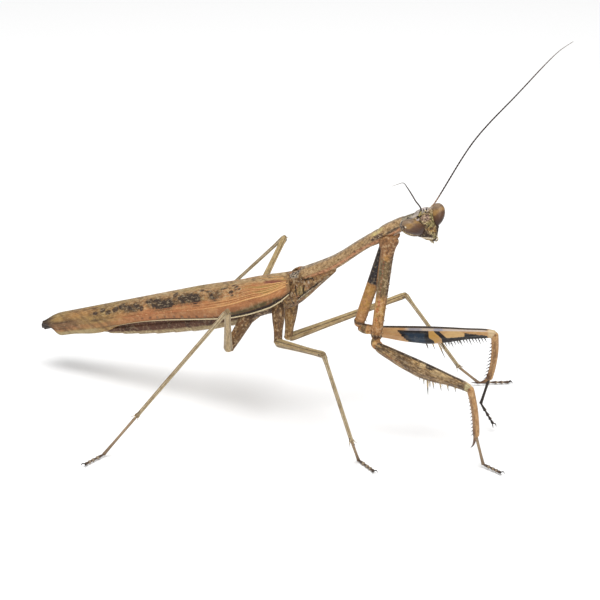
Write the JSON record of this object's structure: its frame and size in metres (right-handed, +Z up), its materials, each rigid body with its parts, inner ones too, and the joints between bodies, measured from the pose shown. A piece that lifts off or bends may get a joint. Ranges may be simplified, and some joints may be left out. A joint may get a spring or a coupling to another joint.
{
  "type": "praying mantis",
  "caption": "Life-size still model of a small brown praying mantis standing on its walking legs with its raptorial forelegs reaching forward and its head turned aside.",
  "frame": {"origin": "centre of the bounding box, on the floor", "axes": "+X the way the body faces, +Y the animal's left, +Z up"},
  "size_m": [0.0592, 0.0416, 0.0419],
  "materials": {
    "head_shell": "matt, finely granular",
    "eye": "smooth, low gloss",
    "antenna": "matt",
    "mouthparts": "satin",
    "pronotum_shell": "satin, finely speckled",
    "thorax_shell": "satin, mottled",
    "abdomen_shell": "satin",
    "cercus": "matt",
    "tegmen": "leathery, faint sheen, veined",
    "hindwing": "thin, faint sheen",
    "fore_coxa": "satin",
    "fore_femur": "satin, mottled",
    "fore_tibia": "satin",
    "walking_leg": "satin",
    "tarsus": "matt"
  },
  "bodies": {
    "root": {"head": "head_shell", "mouthparts": "mouthparts", "neck": "pronotum_shell", "pronotum": "pronotum_shell", "thorax": "thorax_shell", "abdomen": "abdomen_shell", "eye_right": "eye", "antenna_right": "antenna", "tegmen_right": "tegmen", "hindwing_right": "hindwing", "cercus_right": "cercus", "fore_coxa_right": "fore_coxa", "fore_trochanter_right": "fore_coxa", "fore_femur_right": "fore_femur", "fore_tibia_right": "fore_tibia", "fore_tarsus_right": "tarsus", "mid_coxa_right": "thorax_shell", "mid_femur_right": "walking_leg", "mid_tibia_right": "walking_leg", "mid_tarsus_right": "tarsus", "hind_coxa_right": "thorax_shell", "hind_femur_right": "walking_leg", "hind_tibia_right": "walking_leg", "hind_tarsus_right": "tarsus", "eye_left": "eye", "antenna_left": "antenna", "tegmen_left": "tegmen", "hindwing_left": "hindwing", "cercus_left": "cercus", "fore_coxa_left": "fore_coxa", "fore_trochanter_left": "fore_coxa", "fore_femur_left": "fore_femur", "fore_tibia_left": "fore_tibia", "fore_tarsus_left": "tarsus", "mid_coxa_left": "thorax_shell", "mid_femur_left": "walking_leg", "mid_tibia_left": "walking_leg", "mid_tarsus_left": "tarsus", "hind_coxa_left": "thorax_shell", "hind_femur_left": "walking_leg", "hind_tibia_left": "walking_leg", "hind_tarsus_left": "tarsus"}
  },
  "joints": []
}
